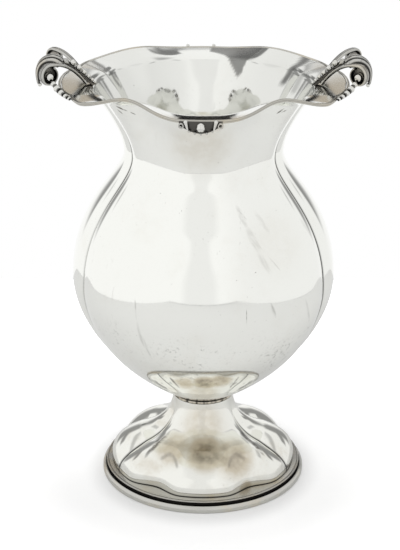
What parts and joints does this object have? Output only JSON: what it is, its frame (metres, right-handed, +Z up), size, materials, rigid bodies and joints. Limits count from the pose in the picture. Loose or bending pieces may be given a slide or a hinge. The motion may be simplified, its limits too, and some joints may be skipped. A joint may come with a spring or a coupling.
{
  "type": "silver vase",
  "caption": "Raised metal flower vase with a lobed pear-shaped body, a wavy wired rim, a domed foot on a heavy ring, and beaded ram's horn scroll handles at the lip.",
  "frame": {"origin": "centre of the foot, on the table", "axes": "+Z up along the axis of the vase, front at -Y, one handle at -X and one at +X"},
  "size_m": [0.2182, 0.193, 0.2976],
  "materials": {
    "polished_silver": "polished sheet silver with faint hammering and fine scratches",
    "worn_silver": "polished silver wire and solder, slightly tarnished",
    "cast_silver": "cast and chased silver, polished on its high points",
    "darkened_silver": "silver darkened by tarnish in its recesses"
  },
  "bodies": {
    "root": {"body_shell": "polished_silver", "rim_wire": "worn_silver", "stem_collar": "worn_silver", "foot_dome": "polished_silver", "foot_flange": "polished_silver", "base_ring": "worn_silver", "left_hook": "cast_silver", "right_hook": "cast_silver", "left_drop": "cast_silver", "right_drop": "cast_silver", "left_tongue": "darkened_silver", "right_tongue": "darkened_silver", "left_tongue_beads": "cast_silver", "right_tongue_beads": "cast_silver", "left_front_scroll": "cast_silver", "left_back_scroll": "cast_silver", "right_front_scroll": "cast_silver", "right_back_scroll": "cast_silver", "left_front_strand": "cast_silver", "left_back_strand": "cast_silver", "right_front_strand": "cast_silver", "right_back_strand": "cast_silver", "front_plate": "darkened_silver", "back_plate": "darkened_silver", "front_boss": "cast_silver", "back_boss": "cast_silver", "front_petals": "cast_silver", "back_petals": "cast_silver", "front_granules": "cast_silver", "back_granules": "cast_silver", "front_curls": "cast_silver", "back_curls": "cast_silver"}
  },
  "joints": []
}
